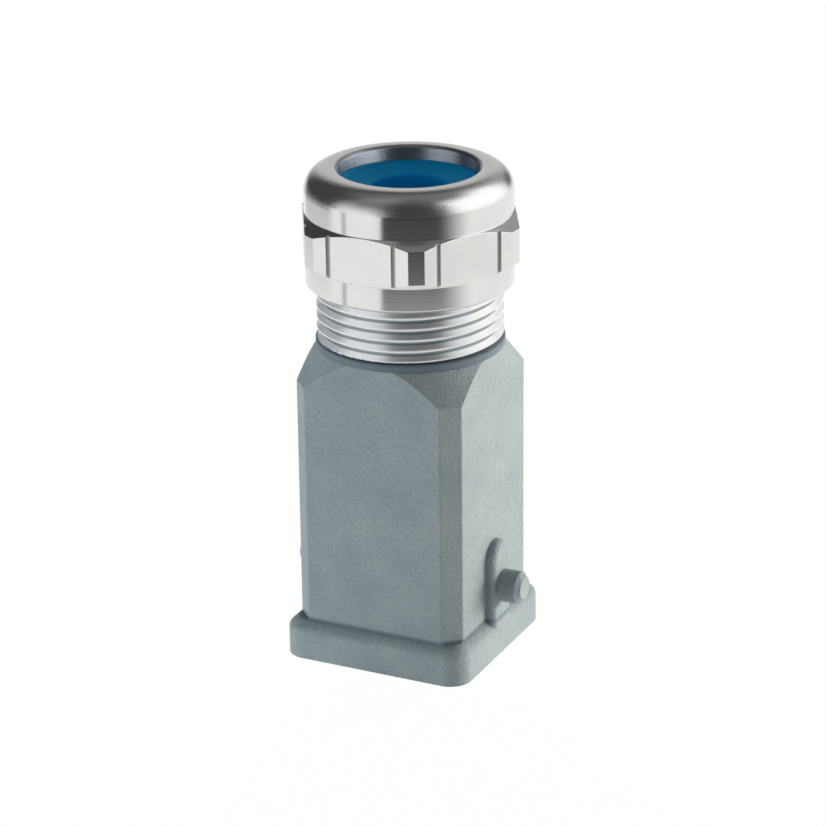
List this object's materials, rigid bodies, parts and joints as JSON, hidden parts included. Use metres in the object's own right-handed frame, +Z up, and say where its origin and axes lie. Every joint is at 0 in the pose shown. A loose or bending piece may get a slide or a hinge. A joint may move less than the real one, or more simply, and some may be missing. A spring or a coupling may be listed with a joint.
{
  "type": "rectangular connector hood with cable gland",
  "caption": "Square die-cast connector hood with a straight threaded cable entry, domed cap nut, sealing insert, locking pegs and a screw-terminal pin insert.",
  "frame": {"origin": "centre of the hood's mating rim, on the rim plane", "axes": "+Z up the cable axis, +X towards one locking peg, -Y the plain face seen in the picture"},
  "size_m": [0.0336, 0.0282, 0.0675],
  "materials": {
    "powder_coat": "fine-textured blue-grey powder coat on die-cast zinc, bare metal on the neck thread",
    "nickel": "bright nickel plate over turned brass",
    "blue_seal": "satin moulded elastomer",
    "insert_plastic": "matt glass-filled moulding",
    "contact_silver": "silver-plated turned copper alloy",
    "zinc_steel": "bright zinc-plated steel",
    "spring_bronze": "rolled spring strip",
    "black_rubber": "moulded washer"
  },
  "bodies": {
    "hood_assembly": {"hood": "powder_coat", "insert_body": "insert_plastic", "insert_retainer": "insert_plastic", "pole_pin_1": "contact_silver", "pole_pin_2": "contact_silver", "pole_pin_3": "contact_silver", "earth_pin": "contact_silver", "terminal_screw_1": "zinc_steel", "terminal_screw_2": "zinc_steel", "terminal_screw_3": "zinc_steel", "terminal_screw_4": "zinc_steel", "wire_guard_1": "spring_bronze", "wire_guard_2": "spring_bronze", "wire_guard_3": "spring_bronze", "wire_guard_4": "spring_bronze", "earth_leaf": "spring_bronze", "screw_seal": "black_rubber", "fixing_screw": "zinc_steel"},
    "sealing_insert": {"sealing_globe": "blue_seal", "inner_sleeve": "blue_seal"},
    "cap_nut": {"cap_nut": "nickel"}
  },
  "joints": [
    {"name": "nut_travel", "type": "slide", "parent": "hood_assembly", "child": "sealing_insert", "axis": [0, 0, 1], "range_m": [-0.0015, 0.0045]},
    {"name": "cap_nut_turn", "type": "hinge", "parent": "sealing_insert", "child": "cap_nut", "pos_m": [0, 0, 0.06], "axis": [0, 0, 1], "range_deg": [-360, 1080]}
  ],
  "couplings": [
    {"joint": "cap_nut_turn", "follows": "nut_travel", "rad_per_m": 4188.8}
  ]
}
